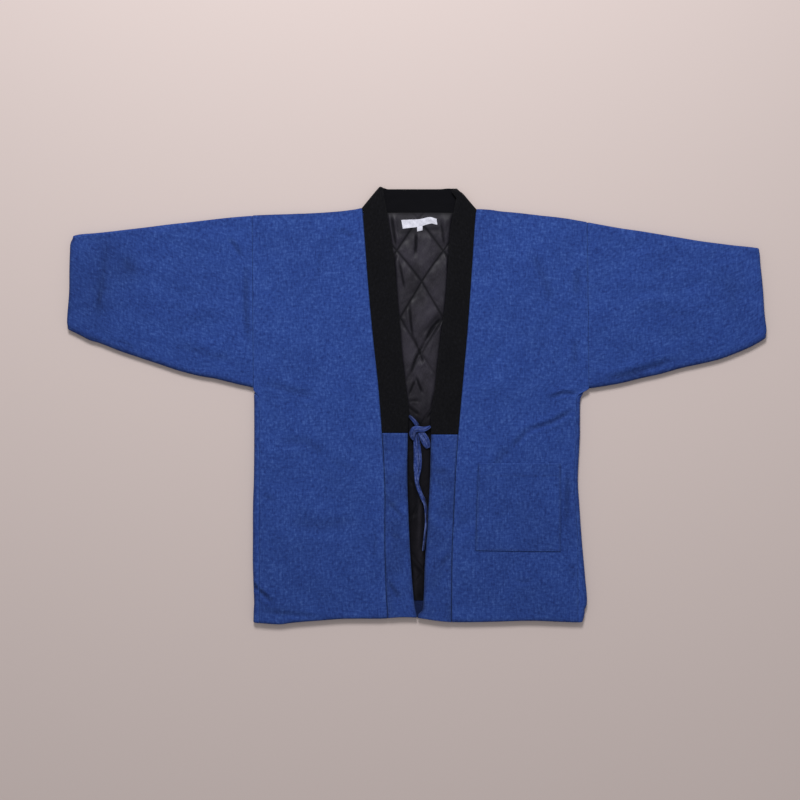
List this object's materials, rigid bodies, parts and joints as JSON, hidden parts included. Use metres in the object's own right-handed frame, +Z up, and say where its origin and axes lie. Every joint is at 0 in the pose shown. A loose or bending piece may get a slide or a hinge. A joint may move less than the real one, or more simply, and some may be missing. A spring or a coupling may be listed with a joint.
{
  "type": "hanten jacket, laid flat",
  "caption": "Wadded hanten jacket laid flat, front up: blue body and sleeves, black folded collar running into blue front bands, quilted lining, patch pocket and knotted cloth ties.",
  "frame": {"origin": "centre of the jacket's bounding box, on the surface that it lies on", "axes": "+Z up from the surface, +Y from the hem to the collar, +X toward the wearer's left sleeve, which is at the picture's right"},
  "size_m": [1.354, 0.8449, 0.0197],
  "materials": {
    "blue_cloth": "matt slubby cotton, denim-like",
    "band_cloth": "matt slubby cotton, folded",
    "black_cloth": "matt black cotton twill",
    "lining_satin": "satin, quilted in long diamonds",
    "label_cloth": "woven tape"
  },
  "bodies": {
    "root": {"back_panel": "blue_cloth", "front_right": "blue_cloth", "front_left": "blue_cloth", "sleeve_right": "blue_cloth", "sleeve_left": "blue_cloth", "collar": "black_cloth", "band_right": "band_cloth", "band_left": "band_cloth", "pocket": "blue_cloth", "lining_back": "lining_satin", "label": "label_cloth", "size_tab": "label_cloth", "tie_right": "band_cloth", "tie_right_end": "band_cloth", "tie_left": "band_cloth"}
  },
  "joints": []
}
